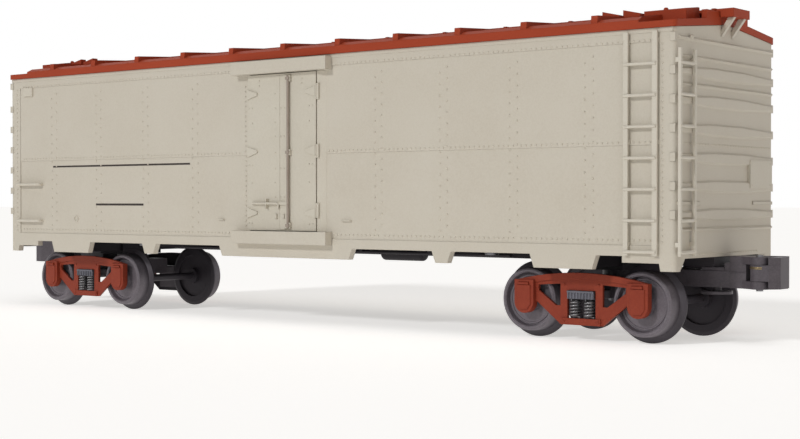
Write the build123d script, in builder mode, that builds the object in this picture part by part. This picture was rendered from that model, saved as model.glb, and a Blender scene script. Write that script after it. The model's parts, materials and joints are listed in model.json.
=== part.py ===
"""Model refrigerator car for three-rail O gauge track, about 1:48, in millimetres.

+X runs along the car, +Z is up. The origin is on the floor plane under the middle of the car,
level with the bottoms of the wheel flanges. The car looks the same turned half round about Z,
apart from the hand brake on the -X end and the brake gear under the floor.
"""
import os
from build123d import *

os.makedirs("parts", exist_ok=True)

# Body shell: one hollow moulding with side walls, ribbed ends and skirts
body_length = 268.0
body_width = 57.0
half_l = body_length / 2
half_w = body_width / 2
truck_x = half_l - 32.15
wall_t = 2.0
corner_r = 1.3
wall_bottom_z = 23.5
end_bottom_z = 23.0
eave_z = 81.45
gable_rise = 2.9
sheet_relief = 0.25
letterboard_z = eave_z - 3.45
sheet_lap_z = 51.9
sheet_lap_t = 0.12
sill_seam_z = 26.3
corner_strip_x = half_l - 5.4

# Skirts under the side walls: top half-length, inset of the slanted ends, bottom height
centre_skirt_half = 27.7
centre_skirt_z = 20.3
tab_inner_x = 57.2
tab_outer_x = 64.0
tab_z = 20.2
bolster_skirt_inner_x = truck_x - 11.55
bolster_skirt_outer_x = truck_x + 9.15
bolster_skirt_z = 19.8
ladder_sill_inner_x = half_l - 15.3
ladder_sill_z = 21.8
skirt_slant = 1.3
foot_length_x = 4.6
foot_length_y = 5.2
foot_slant = 2.6
foot_z = 19.8

# Pressed ends: six wide ribs spread evenly, thin ribs and darts between them, heights at their middles
end_rib_proud = 0.7
end_rib_tip_half_height = 1.1
end_rib_flat_half = 9.0
end_rib_half_length = half_w - 0.9
end_rib_taper_deg = 35.0
rib_root = 0.3
wide_rib_half_height = 1.85
thin_rib_half_height = 0.75
wide_rib_count = 6
wide_rib_low_z = 34.1
wide_rib_high_z = eave_z - 10.75
thin_rib_heights = (eave_z - 2.45, eave_z - 7.05, wide_rib_high_z - 3.4, wide_rib_low_z - 3.7)
rib_wrap_proud = 0.2
rib_wrap_length = 1.6
dart_half_height = 0.45
dart_length = 12.2
dart_z = 37.1
placard_width = 13.4
placard_height = 7.6
placard_t = 1.1
placard_y = half_w - 7.6
placard_z = 45.0

# Door opening, its two beams, and the doors
door_half_width = 14.4
door_bottom_z = 28.4
door_top_z = eave_z - 4.55
door_gap = 0.25
door_face_proud = 0.8
door_t = 2.4
beam_half_length = 19.7
beam_height = 4.0
beam_proud = 2.8
lower_beam_z = 24.45
upper_beam_z = door_top_z
door_rod_x = 2.9
door_rod_w = 0.9
door_rod_proud = 0.7
latch_z = 36.9
latch_reach = 14.5
rod_guide_heights = (door_top_z - 1.9, 52.5, door_bottom_z + 1.8)
strap_h = 3.2
strap_l = 4.2
strap_t = 0.4
door_pin_r = 0.45
door_pin_length = 1.4
door_pin_clearance = 0.05
door_pin_inset = 0.45
door_pin_y = half_w + 0.4
hinge_strap_heights = (door_top_z - 6.2, 52.9, door_bottom_z + 5.6)

# Roof moulding with seam caps, running board, hatch covers
roof_overhang = 0.7
roof_end_overhang = 0.2
fascia_height = 2.3
roof_knee_y = half_w - 1.5
roof_knee_z = eave_z + 3.35
roof_upper_y = 12.0
roof_upper_z = eave_z + 5.45
roof_ridge_z = eave_z + 5.95
roof_step_x = half_l - 10.2
end_fascia_height = 1.75
end_roof_y = 13.0
end_roof_z = eave_z + 3.55
end_ridge_z = eave_z + 4.6
seam_cap_from_end = 23.5
seam_cap_count = 11
seam_cap_w = 2.0
seam_cap_outer_z = eave_z + 4.45
seam_cap_inner_y = 11.0
board_half_width = 4.8
board_half_length = half_l + 4.2
board_t = 0.8
board_end_drop = 2.3
saddle_half_width = 12.0
saddle_t = 1.5
hatch_x = half_l - 9.35
hatch_length = 12.3
hatch_width = 7.3
hatch_inner_y = 9.5
hatch_top_z = roof_ridge_z + 0.9
hatch_outer_top_z = roof_ridge_z + 0.1
hatch_rest_spots = (half_l - 26.55, half_l - 20.15)
hatch_rest_length = 5.3
hatch_rest_width = 2.2
hatch_rest_top_z = roof_ridge_z + 1.2
hatch_rest_root_z = roof_upper_z - 0.6
hatch_rest_y = 14.0
bracket_y = 3.0
bracket_w = 1.2

# Ladders and grab irons, as round wire and flat stiles
rung_r = 0.45
ladder_pitch = 7.97
ladder_rungs = 7
ladder_bottom_z = 24.7
ladder_foot_z = 23.7
rung_overhang = 0.6
grab_standoff = 1.5
ladder_standoff = 1.6
stile_t = 0.8
side_ladder_x = half_l - 9.1
side_ladder_w = 8.8
side_stile_w = 1.7
side_stile_top_z = eave_z - 0.75
end_ladder_y = half_w - 4.1
end_ladder_w = 8.6
end_stile_w = 0.9
end_stile_top_z = eave_z - 5.35
ladder_foot_h = 1.2
side_ladder_feet = (26.6, side_stile_top_z - 2.3)
end_ladder_feet = (26.6, end_stile_top_z - 3.0)
grab_x = half_l - 11.2
grab_w = 13.4
grab_bend_r = 0.9
grab_heights = (43.6, 30.7)

# Hand brake on the -X end
brake_wheel_r = 5.6
brake_wheel_rim_r = 0.5
brake_wheel_y = 11.0
brake_wheel_z = eave_z - 17.75
brake_wheel_standoff = 5.0
brake_spokes = 5
brake_housing_w = 6.0
brake_housing_h = 8.0
brake_housing_t = 2.6
brake_rod_r = 0.5
brake_rod_bottom_z = 26.0
brake_shaft_r = 0.9
brake_hub_r = 1.4
brake_spoke_w = 0.8
brake_rod_step_h = 1.3

# Floor and what hangs under it
floor_clearance = 0.15
floor_bottom_z = 23.5
floor_t = 1.8
centre_sill_w = 11.0
centre_sill_z = 21.1
centre_sill_half_length = truck_x - 19.85
end_sill_inner_x = truck_x + 6.5
end_sill_outer_x = half_l - 0.4
end_sill_w = 13.0
end_sill_z = 20.4
cross_bearer_x = truck_x - 41.25
cross_bearer_spots = (-cross_bearer_x, 0.0, cross_bearer_x)
cross_bearer_w = 2.4
cross_bearer_z = 22.5
bolster_pad_w = 12.0
bolster_pad_z = 18.8
bolster_pad_half_length = 9.0
body_bolster_w = 10.0
body_bolster_z = 20.0
tank_x = 14.7
tank_y = 13.0
tank_r = 2.45
tank_length = 17.0
tank_z = 20.95
cylinder_x = -30.0
cylinder_y = 12.0
cylinder_r = 2.1
cylinder_length = 12.0
cylinder_z = 21.2
cylinder_cap_r = 2.25
cylinder_cap_t = 1.2
cylinder_rod_r = 0.8
cylinder_rod_length = 6.5
brake_line_r = 0.55
brake_line_y = 7.5
brake_line_z = 21.9
brake_line_half_length = 70.0
brake_line_hangers = (-66.0, -41.0, -14.0, 14.0, 41.0, 66.0)
hanger_l = 1.2
floor_screw_r = 1.9
floor_screw_x = truck_x - 29.85
floor_screw_y = 20.0
floor_screw_t = 1.0

# Trucks: wheels and axles
wheelbase = 35.4
tread_r = 8.75
flange_h = 1.8
wheel_outer_y = 19.6
wheel_w = 5.7
flange_w = 1.1
wheel_rim_w = 1.3
wheel_dish = 1.4
hub_r = 2.7
axle_r = 1.2
journal_r = 1.0
journal_length = 1.6
bearing_clearance = 0.06
axle_z = tread_r + flange_h

# Side frames: cast outline about the truck centre, heights above the floor plane
frame_inner_y = 19.9
frame_web_t = 0.9
frame_rim_t = 1.3
arch_crown_z = 18.4
arch_end_z = 16.0
arch_end_x = 20.6
chord_t = 1.7
pocket_half_w = 4.4
pocket_bottom_z = 6.1
pocket_top_z = 13.6
frame_foot_half = 6.6
frame_bottom_z = 4.3
frame_knee_x = 14.0
frame_knee_z = 10.1
box_w = 6.2
box_bottom_z = 6.9
box_top_z = 16.1
box_outer_y = 22.0
window_inner_x = 6.6
window_outer_x = 13.6
window_bottom_z = 9.4
window_top_z = 15.3
spring_r = 1.5
spring_offset = 2.2
spring_wire_d = 0.6

# Truck bolster, pivot pin and coupler
bolster_half_w = 4.1
bolster_bottom_z = 11.3
bolster_top_z = 13.5
bolster_mid_half_w = 5.6
bolster_mid_half_len = 12.5
bolster_mid_top_z = 16.7
centre_boss_r = 5.0
centre_boss_gap = 0.1
pivot_r = 2.0
pivot_clearance = 0.05
pivot_head_r = 3.4
pivot_head_t = 1.2
arm_half_w = 4.2
arm_bottom_z = 14.9
arm_low_top_z = 16.7
arm_rise_x = 10.5
arm_top_z = 19.3
head_bottom_z = 14.8
head_top_z = 23.2
head_start_x = 35.2
head_box_end_x = 39.8
head_half_w = 4.2
knuckle_pin_x = 43.7
knuckle_pin_y = -4.4
knuckle_pin_r = 0.9
knuckle_pin_proud = 0.5
knuckle_gap = 0.1
lug_r = 2.4
lug_t = 2.0
guard_x = 47.4
guard_y = 5.5
knuckle_nose_x = 49.0
nose_gap = 0.1
plate_r = 4.2
plate_t = 0.8
plate_stem_r = 1.2
plate_x = 29.4
plate_z = 12.9

half_turn = Location((0, 0, 0), (0, 0, 180))


def save(piece, name):
    piece.label = name
    export_step(piece, f"parts/{name}.step")


def slanted(x0, x1, z_low):
    """A skirt's corners in X and Z, from left to right: down one slant, along the bottom, up the other."""
    return [(x0, wall_bottom_z), (x0 + skirt_slant, z_low), (x1 - skirt_slant, z_low), (x1, wall_bottom_z)]


# Body shell
gable_peak_z = eave_z + gable_rise
below_z = foot_z - 1
foot_x = half_l - foot_length_x
door_w = 2 * (door_half_width - door_gap)
door_pin_x = door_w / 2 - door_pin_inset
ladder_sill = [(ladder_sill_inner_x, wall_bottom_z), (ladder_sill_inner_x, ladder_sill_z),
               (foot_x, ladder_sill_z), (foot_x + 0.4, foot_z)]
right_skirts = (slanted(tab_inner_x, tab_outer_x, tab_z)
                + slanted(bolster_skirt_inner_x, bolster_skirt_outer_x, bolster_skirt_z) + ladder_sill)
left_skirts = [(-x, z) for x, z in reversed(right_skirts)]
cut_below_side = (left_skirts + slanted(-centre_skirt_half, centre_skirt_half, centre_skirt_z)
                  + right_skirts + [(foot_x + 0.4, below_z), (-foot_x - 0.4, below_z)])
foot_y = half_w - foot_length_y
foot_tip_y = foot_y + foot_slant
cut_below_end = ((-foot_y, end_bottom_z), (foot_y, end_bottom_z), (foot_tip_y, foot_z), (foot_tip_y, below_z),
                 (-foot_tip_y, below_z), (-foot_tip_y, foot_z))
wide_rib_pitch = (wide_rib_high_z - wide_rib_low_z) / (wide_rib_count - 1)
wide_rib_heights = [wide_rib_low_z + k * wide_rib_pitch for k in range(wide_rib_count)]
# Sunk side sheets between letterboard, lap and sill: bottom, top, depth below the letterboard's face
side_sheets = ((sill_seam_z, sheet_lap_z, sheet_relief),
               (sheet_lap_z, letterboard_z, sheet_relief - sheet_lap_t))
with BuildPart() as body_shell:
    # Gable-ended block with round corners, hollowed right through from the floor to the roof
    with BuildSketch(Plane.XY.offset(foot_z)):
        RectangleRounded(body_length, body_width, corner_r)
    extrude(amount=gable_peak_z - foot_z)
    with BuildSketch(Plane.YZ.offset(-half_l)):
        with BuildLine():
            Polyline((-half_w, foot_z), (half_w, foot_z), (half_w, eave_z), (0, gable_peak_z),
                     (-half_w, eave_z), close=True)
        make_face()
    extrude(amount=body_length, mode=Mode.INTERSECT)
    with BuildSketch(Plane.XY.offset(below_z)):
        Rectangle(body_length - 2 * wall_t, body_width - 2 * wall_t)
    extrude(amount=body_length, mode=Mode.SUBTRACT)
    # Lower edges: skirts and corner feet along the sides, feet at the ends
    with BuildSketch(Plane.XZ.offset(-body_width / 2 - 1)):
        with BuildLine():
            Polyline(*cut_below_side, close=True)
        make_face()
    extrude(amount=body_width + 2, mode=Mode.SUBTRACT)
    with BuildSketch(Plane.YZ.offset(-half_l - 1)):
        with BuildLine():
            Polyline(*cut_below_end, close=True)
        make_face()
    extrude(amount=body_length + 2, mode=Mode.SUBTRACT)
    for side in (-1, 1):
        for z0, z1, depth in side_sheets:
            with BuildSketch(Plane.XZ.offset(side * half_w)):
                with Locations((0, (z0 + z1) / 2)):
                    Rectangle(2 * corner_strip_x, z1 - z0)
            extrude(amount=-side * depth, mode=Mode.SUBTRACT)
        # Beams above and below the door
        for z0 in (lower_beam_z, upper_beam_z):
            with BuildSketch(Plane.XZ.offset(side * (half_w + beam_proud))):
                with Locations((0, z0 + beam_height / 2)):
                    Rectangle(2 * beam_half_length, beam_height)
            extrude(amount=-side * (beam_proud + wall_t / 2))
    # Door openings
    with BuildSketch(Plane.XZ.offset(-body_width)):
        with Locations((0, (door_bottom_z + door_top_z) / 2)):
            Rectangle(2 * door_half_width, door_top_z - door_bottom_z)
    extrude(amount=2 * body_width, mode=Mode.SUBTRACT)
    # Holes in the beams for the door pins
    for side in (-1, 1):
        with BuildSketch(Plane.XY.offset(door_bottom_z - door_pin_length)):
            with Locations((side * door_pin_x, side * door_pin_y)):
                Circle(door_pin_r + door_pin_clearance)
        extrude(amount=door_top_z - door_bottom_z + 2 * door_pin_length, mode=Mode.SUBTRACT)
    # Pressed ribs and darts of the ends
    for end in (-1, 1):
        for z in wide_rib_heights:
            with BuildSketch(Plane.YZ.offset(end * (half_l - rib_root))):
                with BuildLine():
                    Polyline((-end_rib_half_length, z - end_rib_tip_half_height),
                             (-end_rib_flat_half, z - wide_rib_half_height),
                             (end_rib_flat_half, z - wide_rib_half_height),
                             (end_rib_half_length, z - end_rib_tip_half_height),
                             (end_rib_half_length, z + end_rib_tip_half_height),
                             (end_rib_flat_half, z + wide_rib_half_height),
                             (-end_rib_flat_half, z + wide_rib_half_height),
                             (-end_rib_half_length, z + end_rib_tip_half_height), close=True)
                make_face()
            extrude(amount=end * (end_rib_proud + rib_root), taper=end_rib_taper_deg)
        for z in thin_rib_heights:
            with BuildSketch(Plane.YZ.offset(end * (half_l - rib_root))):
                with Locations((0, z)):
                    Rectangle(2 * end_rib_half_length, 2 * thin_rib_half_height)
            extrude(amount=end * (end_rib_proud + rib_root), taper=end_rib_taper_deg)
        for side in (-1, 1):
            with BuildSketch(Plane.YZ.offset(end * (half_l - rib_root))):
                with Locations((side * (end_rib_half_length - dart_length / 2), dart_z)):
                    Rectangle(dart_length, 2 * dart_half_height)
            extrude(amount=end * (end_rib_proud / 2 + rib_root))
            # Rib ends wrapped round the corner posts
            for z in [thin_rib_heights[0]] + wide_rib_heights:
                with BuildSketch(Plane.XY.offset(z - end_rib_tip_half_height)):
                    with Locations((end * (half_l - rib_wrap_length / 2),
                                    side * (half_w + rib_wrap_proud - 1))):
                        Rectangle(rib_wrap_length, 2)
                extrude(amount=2 * end_rib_tip_half_height)
save(body_shell.part, "body_shell")

# Boards for placards, one on each end
with BuildPart() as placard_boards:
    for end in (-1, 1):
        with BuildSketch(Plane.YZ.offset(end * (half_l + end_rib_proud))):
            with Locations((end * placard_y, placard_z)):
                Rectangle(placard_width, placard_height)
        extrude(amount=end * placard_t)
save(placard_boards.part, "placard_boards")

# Roof moulding: the middle, and a lower strip at each end under the hatches and the end boards
fascia_y = half_w + roof_overhang
fascia_x = half_l + roof_end_overhang
fascia_top_z = eave_z + fascia_height
end_fascia_top_z = eave_z + end_fascia_height
roof_soffit_z = gable_peak_z + gable_rise * roof_overhang / half_w
seam_cap_pitch = 2 * (half_l - seam_cap_from_end) / (seam_cap_count - 1)
with BuildPart() as roof:
    with BuildSketch(Plane.YZ.offset(-roof_step_x)):
        with BuildLine():
            Polyline((-fascia_y, eave_z), (-fascia_y, fascia_top_z), (-roof_knee_y, roof_knee_z),
                     (-roof_upper_y, roof_upper_z), (0, roof_ridge_z), (roof_upper_y, roof_upper_z),
                     (roof_knee_y, roof_knee_z), (fascia_y, fascia_top_z), (fascia_y, eave_z),
                     (0, roof_soffit_z), close=True)
        make_face()
    extrude(amount=2 * roof_step_x)
    for end in (-1, 1):
        with BuildSketch(Plane.YZ.offset(end * roof_step_x)):
            with BuildLine():
                Polyline((-fascia_y, eave_z), (-fascia_y, end_fascia_top_z), (-end_roof_y, end_roof_z),
                         (0, end_ridge_z), (end_roof_y, end_roof_z), (fascia_y, end_fascia_top_z),
                         (fascia_y, eave_z), (0, roof_soffit_z), close=True)
            make_face()
        extrude(amount=end * (fascia_x - roof_step_x))
    # Round corners in plan
    with BuildSketch(Plane.XY.offset(eave_z)):
        RectangleRounded(2 * fascia_x, 2 * fascia_y, corner_r)
    extrude(amount=roof_ridge_z - eave_z, mode=Mode.INTERSECT)
    for k in range(seam_cap_count):
        x = (k - (seam_cap_count - 1) / 2) * seam_cap_pitch
        for side in (-1, 1):
            with BuildSketch(Plane.YZ.offset(x - seam_cap_w / 2)):
                with BuildLine():
                    Polyline((side * (fascia_y - 0.3), fascia_top_z - 0.5),
                             (side * (fascia_y - 0.6), seam_cap_outer_z),
                             (side * seam_cap_inner_y, roof_upper_z + 0.15),
                             (side * seam_cap_inner_y, roof_upper_z - 0.8), close=True)
                make_face()
            extrude(amount=seam_cap_w)
    for end in (-1, 1):
        with BuildSketch(Plane.YZ.offset(end * (fascia_x - saddle_t))):
            with BuildLine():
                Polyline((-saddle_half_width, end_roof_z - 0.5), (-saddle_half_width, roof_ridge_z),
                         (saddle_half_width, roof_ridge_z), (saddle_half_width, end_roof_z - 0.5), close=True)
            make_face()
        extrude(amount=end * saddle_t)
save(roof.part, "roof")

# Running board on the ridge, with a deeper end board past each end wall
with BuildPart() as running_board:
    with BuildSketch(Plane.XY.offset(roof_ridge_z)):
        Rectangle(2 * board_half_length, 2 * board_half_width)
    extrude(amount=board_t)
    for end in (-1, 1):
        with BuildSketch(Plane.YZ.offset(end * (fascia_x + 0.2))):
            with Locations((0, roof_ridge_z - (board_end_drop - board_t) / 2)):
                Rectangle(2 * board_half_width, board_end_drop - board_t)
        extrude(amount=end * (board_half_length - fascia_x - 0.2))
save(running_board.part, "running_board")

# Slanting brackets from the end walls to the overhanging board ends
bracket_top_z = roof_ridge_z - board_end_drop + board_t
with BuildPart() as board_brackets:
    for end in (-1, 1):
        for y in (-bracket_y, bracket_y):
            with BuildSketch(Plane.XZ.offset(-y - bracket_w / 2)):
                with BuildLine():
                    Polyline((end * half_l, eave_z - 0.6), (end * half_l, eave_z + 1.2),
                             (end * (board_half_length - 2.2), bracket_top_z),
                             (end * (board_half_length - 0.4), bracket_top_z), close=True)
                make_face()
            extrude(amount=bracket_w)
save(board_brackets.part, "board_brackets")

# Ice hatch covers near the roof's corners, and the wedges that stop them when open, all cut to the roof
hatch_outer_y = hatch_inner_y + hatch_width
with BuildPart() as ice_hatches:
    for end in (-1, 1):
        for side in (-1, 1):
            with BuildSketch(Plane.YZ.offset(end * hatch_x - hatch_length / 2)):
                with BuildLine():
                    Polyline((side * hatch_inner_y, end_roof_z - 0.5), (side * hatch_inner_y, hatch_top_z),
                             (side * (hatch_inner_y + 1), hatch_top_z),
                             (side * hatch_outer_y, hatch_outer_top_z),
                             (side * hatch_outer_y, end_roof_z - 0.5), close=True)
                make_face()
            extrude(amount=hatch_length)
    add(roof.part, mode=Mode.SUBTRACT)
save(ice_hatches.part, "ice_hatches")

with BuildPart() as hatch_rests:
    for end in (-1, 1):
        for x in hatch_rest_spots:
            for side in (-1, 1):
                high_x = end * (x - hatch_rest_length / 2)
                low_x = end * (x + hatch_rest_length / 2)
                with BuildSketch(Plane.XZ.offset(-side * hatch_rest_y - hatch_rest_width / 2)):
                    with BuildLine():
                        Polyline((high_x, hatch_rest_root_z), (high_x, hatch_rest_top_z),
                                 (low_x, hatch_rest_root_z + 1.1), (low_x, hatch_rest_root_z), close=True)
                    make_face()
                extrude(amount=hatch_rest_width)
    add(roof.part, mode=Mode.SUBTRACT)
save(hatch_rests.part, "hatch_rests")

# Side doors: one moulded panel each, with pins, a lock rod, a latch and hinge straps
door_h = door_top_z - door_bottom_z - 2 * door_gap
door_mid_z = (door_bottom_z + door_top_z) / 2
door_face_y = -(half_w + door_face_proud)
with BuildPart() as door:
    with BuildSketch(Plane.XZ.offset(-door_face_y)):
        with Locations((0, door_mid_z)):
            Rectangle(door_w, door_h)
    extrude(amount=-door_t)
    # Lock rod with its guides, and the handle from the latch case to its keeper
    with BuildSketch(Plane.XZ.offset(-door_face_y)):
        with Locations((door_rod_x, door_mid_z)):
            Rectangle(door_rod_w, door_h - 2)
        for z in rod_guide_heights:
            with Locations((door_rod_x, z)):
                Rectangle(3 * door_rod_w, 2 * door_rod_w)
        with Locations((door_rod_x - latch_reach / 2, latch_z)):
            Rectangle(latch_reach, door_rod_w)
    extrude(amount=door_rod_proud)
    # Hinge straps at both edges
    for z in hinge_strap_heights:
        for edge in (-1, 1):
            root_x = edge * door_w / 2
            tip_x = edge * (door_w / 2 - strap_l)
            with BuildSketch(Plane.XZ.offset(-door_face_y)):
                with BuildLine():
                    Polyline((root_x, z - strap_h / 2), (tip_x, z - strap_h / 8), (tip_x, z + strap_h / 8),
                             (root_x, z + strap_h / 2), close=True)
                make_face()
            extrude(amount=strap_t)
    # Pins at the hinged edge, one up and one down
    for z, up in ((door_bottom_z + door_gap, -1), (door_top_z - door_gap, 1)):
        with BuildSketch(Plane.XY.offset(z - up * 0.3)):
            with Locations((-door_pin_x, -door_pin_y)):
                Circle(door_pin_r)
        extrude(amount=up * (0.3 + door_pin_length))
save(Part() + door.part, "door_near")
save(door.part.moved(half_turn), "door_far")

# Ladders: flat stiles with round rungs let into them, held off the wall by feet
side_stile_offset = (side_ladder_w - side_stile_w) / 2
with BuildPart() as side_ladder:
    for x in (side_ladder_x - side_stile_offset, side_ladder_x + side_stile_offset):
        with BuildSketch(Plane.XZ.offset(half_w + ladder_standoff)):
            with Locations((x, (ladder_foot_z + side_stile_top_z) / 2)):
                Rectangle(side_stile_w, side_stile_top_z - ladder_foot_z)
        extrude(amount=-stile_t)
        for z in side_ladder_feet:
            with BuildSketch(Plane.XZ.offset(half_w)):
                with Locations((x, z)):
                    Rectangle(side_stile_w, ladder_foot_h)
            extrude(amount=ladder_standoff - stile_t / 2)
    for k in range(ladder_rungs):
        with BuildSketch(Plane.YZ.offset(side_ladder_x - side_ladder_w / 2 - rung_overhang)):
            with Locations((-half_w - ladder_standoff + stile_t / 2, ladder_bottom_z + k * ladder_pitch)):
                Circle(rung_r)
        extrude(amount=side_ladder_w + 2 * rung_overhang)
save(Part() + side_ladder.part, "side_ladder_near")
save(side_ladder.part.moved(half_turn), "side_ladder_far")

end_stile_offset = (end_ladder_w - end_stile_w) / 2
with BuildPart() as end_ladder:
    for y in (-end_ladder_y - end_stile_offset, -end_ladder_y + end_stile_offset):
        with BuildSketch(Plane.YZ.offset(half_l + ladder_standoff)):
            with Locations((y, (ladder_foot_z + end_stile_top_z) / 2)):
                Rectangle(end_stile_w, end_stile_top_z - ladder_foot_z)
        extrude(amount=-stile_t)
        for z in end_ladder_feet:
            with BuildSketch(Plane.YZ.offset(half_l)):
                with Locations((y, z)):
                    Rectangle(end_stile_w, ladder_foot_h)
            extrude(amount=ladder_standoff - stile_t / 2)
    for k in range(ladder_rungs):
        with BuildSketch(Plane.XZ.offset(end_ladder_y - end_ladder_w / 2)):
            with Locations((half_l + ladder_standoff - stile_t / 2, ladder_bottom_z + k * ladder_pitch)):
                Circle(rung_r)
        extrude(amount=end_ladder_w)
save(Part() + end_ladder.part, "end_ladder_right")
save(end_ladder.part.moved(half_turn), "end_ladder_left")

# Grab irons on the left of each side: wire staples, one leg on the sunk sheet, one on the corner strip
with BuildPart() as grab_irons:
    for side in (-1, 1):
        inner_x = side * (grab_x - grab_w / 2 + rung_r)
        outer_x = side * (grab_x + grab_w / 2 - rung_r)
        bar_y = side * (half_w + grab_standoff)
        for z in grab_heights:
            with BuildLine() as wire:
                FilletPolyline((inner_x, side * (half_w - sheet_relief), z), (inner_x, bar_y, z),
                               (outer_x, bar_y, z), (outer_x, side * half_w, z), radius=grab_bend_r)
            with BuildSketch(Plane(origin=wire.line @ 0, z_dir=wire.line % 0)):
                Circle(rung_r)
            sweep(path=wire.line)
save(grab_irons.part, "grab_irons")

# Hand brake on the -X end: gear housing, rod with a step bracket, and wheel
wall_x = -(half_l + end_rib_proud)
wheel_plane_x = wall_x - brake_wheel_standoff
rod_x = wall_x - brake_housing_t / 2
with BuildPart() as brake_gear:
    with BuildSketch(Plane.YZ.offset(wall_x)):
        with Locations((brake_wheel_y, brake_wheel_z - 1)):
            RectangleRounded(brake_housing_w, brake_housing_h, 1.5)
    extrude(amount=-brake_housing_t)
    with BuildSketch(Plane.XY.offset(brake_rod_bottom_z)):
        with Locations((rod_x, brake_wheel_y)):
            Circle(brake_rod_r)
    extrude(amount=brake_wheel_z - brake_rod_bottom_z)
    with BuildSketch(Plane.XY.offset(brake_rod_bottom_z)):
        with Locations(((rod_x - 2 * brake_rod_r - half_l) / 2, brake_wheel_y)):
            Rectangle(2 * brake_rod_r - half_l - rod_x, 3 * brake_rod_r)
    extrude(amount=brake_rod_step_h)
    with BuildSketch(Plane.YZ.offset(wall_x - brake_housing_t)):
        with Locations((brake_wheel_y, brake_wheel_z)):
            Circle(brake_shaft_r)
    extrude(amount=-(brake_wheel_standoff - brake_housing_t - brake_wheel_rim_r * 0.8))
save(brake_gear.part, "brake_gear")

with BuildPart() as brake_wheel:
    with BuildSketch(Plane.YZ.offset(wheel_plane_x)):
        with Locations((brake_wheel_y, brake_wheel_z)):
            Circle(brake_wheel_r)
            Circle(brake_wheel_r - 2 * brake_wheel_rim_r, mode=Mode.SUBTRACT)
    extrude(amount=brake_wheel_rim_r, both=True)
    with BuildSketch(Plane.YZ.offset(wheel_plane_x)):
        with Locations((brake_wheel_y, brake_wheel_z)):
            with PolarLocations(brake_wheel_r / 2, brake_spokes):
                Rectangle(brake_wheel_r - brake_wheel_rim_r, brake_spoke_w)
            Circle(brake_hub_r)
    extrude(amount=brake_wheel_rim_r * 0.8, both=True)
save(brake_wheel.part, "brake_wheel")

# Floor plate with its cross bearers
floor_half_l = half_l - wall_t - floor_clearance
floor_half_w = half_w - wall_t - floor_clearance
with BuildPart() as floor:
    with BuildSketch(Plane.XY.offset(floor_bottom_z)):
        Rectangle(2 * floor_half_l, 2 * floor_half_w)
        with Locations((-truck_x, 0), (truck_x, 0)):
            Circle(pivot_r + pivot_clearance, mode=Mode.SUBTRACT)
    extrude(amount=floor_t)
    with BuildSketch(Plane.XY.offset(floor_bottom_z)):
        for x in cross_bearer_spots:
            for side in (-1, 1):
                with Locations((x, side * (floor_half_w + centre_sill_w / 2) / 2)):
                    Rectangle(cross_bearer_w, floor_half_w - centre_sill_w / 2)
    extrude(amount=cross_bearer_z - floor_bottom_z)
save(floor.part, "floor")

# Centre sill between the trucks, and its deeper ends over the coupler arms
with BuildPart() as centre_sill:
    with BuildSketch(Plane.XY.offset(centre_sill_z)):
        Rectangle(2 * centre_sill_half_length, centre_sill_w)
    extrude(amount=floor_bottom_z - centre_sill_z)
    with BuildSketch(Plane.XY.offset(end_sill_z)):
        for end in (-1, 1):
            with Locations((end * (end_sill_inner_x + end_sill_outer_x) / 2, 0)):
                Rectangle(end_sill_outer_x - end_sill_inner_x, end_sill_w)
    extrude(amount=floor_bottom_z - end_sill_z)
    # Room for the end walls
    with BuildSketch(Plane.XY.offset(end_bottom_z)):
        for end in (-1, 1):
            with Locations((end * half_l, 0)):
                Rectangle(2 * (wall_t + floor_clearance), 2 * end_sill_w)
    extrude(amount=floor_bottom_z - end_bottom_z, mode=Mode.SUBTRACT)
save(centre_sill.part, "centre_sill")

with BuildPart() as body_bolsters:
    for z, width, half_length in ((bolster_pad_z, bolster_pad_w, bolster_pad_half_length),
                                  (body_bolster_z, body_bolster_w, floor_half_w)):
        with BuildSketch(Plane.XY.offset(z)):
            with Locations((-truck_x, 0), (truck_x, 0)):
                Rectangle(width, 2 * half_length)
        extrude(amount=floor_bottom_z - z)
    # Holes for the pivot screws
    with BuildSketch(Plane.XY.offset(bolster_pad_z)):
        with Locations((-truck_x, 0), (truck_x, 0)):
            Circle(pivot_r + pivot_clearance)
    extrude(amount=floor_bottom_z - bolster_pad_z, mode=Mode.SUBTRACT)
save(body_bolsters.part, "body_bolsters")

with BuildPart() as floor_screws:
    with BuildSketch(Plane.XY.offset(floor_bottom_z)):
        with GridLocations(2 * floor_screw_x, 2 * floor_screw_y, 2, 2):
            Circle(floor_screw_r)
    extrude(amount=-floor_screw_t)
save(floor_screws.part, "floor_screws")

# Brake equipment under the floor
with BuildPart() as air_tank:
    with BuildSketch(Plane.YZ.offset(tank_x - tank_length / 2)):
        with Locations((tank_y, tank_z)):
            Circle(tank_r)
    extrude(amount=tank_length)
    fillet(air_tank.edges().filter_by(GeomType.CIRCLE), tank_r * 0.45)
    with BuildSketch(Plane.XY.offset(floor_bottom_z)):
        for x in (tank_x - tank_length / 4, tank_x + tank_length / 4):
            with Locations((x, tank_y)):
                Rectangle(tank_r / 2, tank_r)
    extrude(amount=tank_z - floor_bottom_z)
save(air_tank.part, "air_tank")

with BuildPart() as brake_cylinder:
    with BuildSketch(Plane.YZ.offset(cylinder_x - cylinder_length / 2)):
        with Locations((cylinder_y, cylinder_z)):
            Circle(cylinder_r)
    extrude(amount=cylinder_length)
    with BuildSketch(Plane.YZ.offset(cylinder_x + cylinder_length / 2)):
        with Locations((cylinder_y, cylinder_z)):
            Circle(cylinder_cap_r)
    extrude(amount=cylinder_cap_t)
    with BuildSketch(Plane.YZ.offset(cylinder_x + cylinder_length / 2 + cylinder_cap_t)):
        with Locations((cylinder_y, cylinder_z)):
            Circle(cylinder_rod_r)
    extrude(amount=cylinder_rod_length)
    with BuildSketch(Plane.XY.offset(floor_bottom_z)):
        with Locations((cylinder_x, cylinder_y)):
            Rectangle(cylinder_length - 2, cylinder_r)
    extrude(amount=cylinder_z - floor_bottom_z)
save(brake_cylinder.part, "brake_cylinder")

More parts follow.
